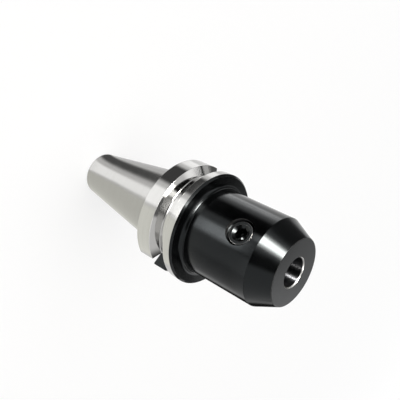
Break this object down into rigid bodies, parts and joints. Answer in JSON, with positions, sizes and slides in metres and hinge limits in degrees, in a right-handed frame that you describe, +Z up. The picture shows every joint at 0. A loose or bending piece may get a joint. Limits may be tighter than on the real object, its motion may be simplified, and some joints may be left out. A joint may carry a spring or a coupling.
{
  "type": "side-lock end mill holder",
  "caption": "Side-lock end mill holder: a ground 7/24 taper and grooved flange with drive slots, a black cylindrical nose with a shank bore, and a threaded clamp screw with a hexagon socket.",
  "frame": {"origin": "centre of the taper's small end face, on which the holder stands", "axes": "+Z up the holder's axis from the small end to the nose, -Y out of the clamp screw's face, X through the two drive slots"},
  "size_m": [0.063, 0.063, 0.1454],
  "materials": {
    "holder_steel": "taper, flange rim, groove and shank bore ground bright; drive slots, flange front, body and nose satin black oxide",
    "screw_steel": "oiled black oxide on alloy steel"
  },
  "bodies": {
    "holder": {"holder_body": "holder_steel"},
    "screw": {"clamp_screw": "screw_steel"}
  },
  "joints": [
    {"name": "clamp_screw_travel", "type": "slide", "parent": "holder", "child": "screw", "axis": [0, -1, 0], "range_m": [-0.01, 0.014]}
  ]
}
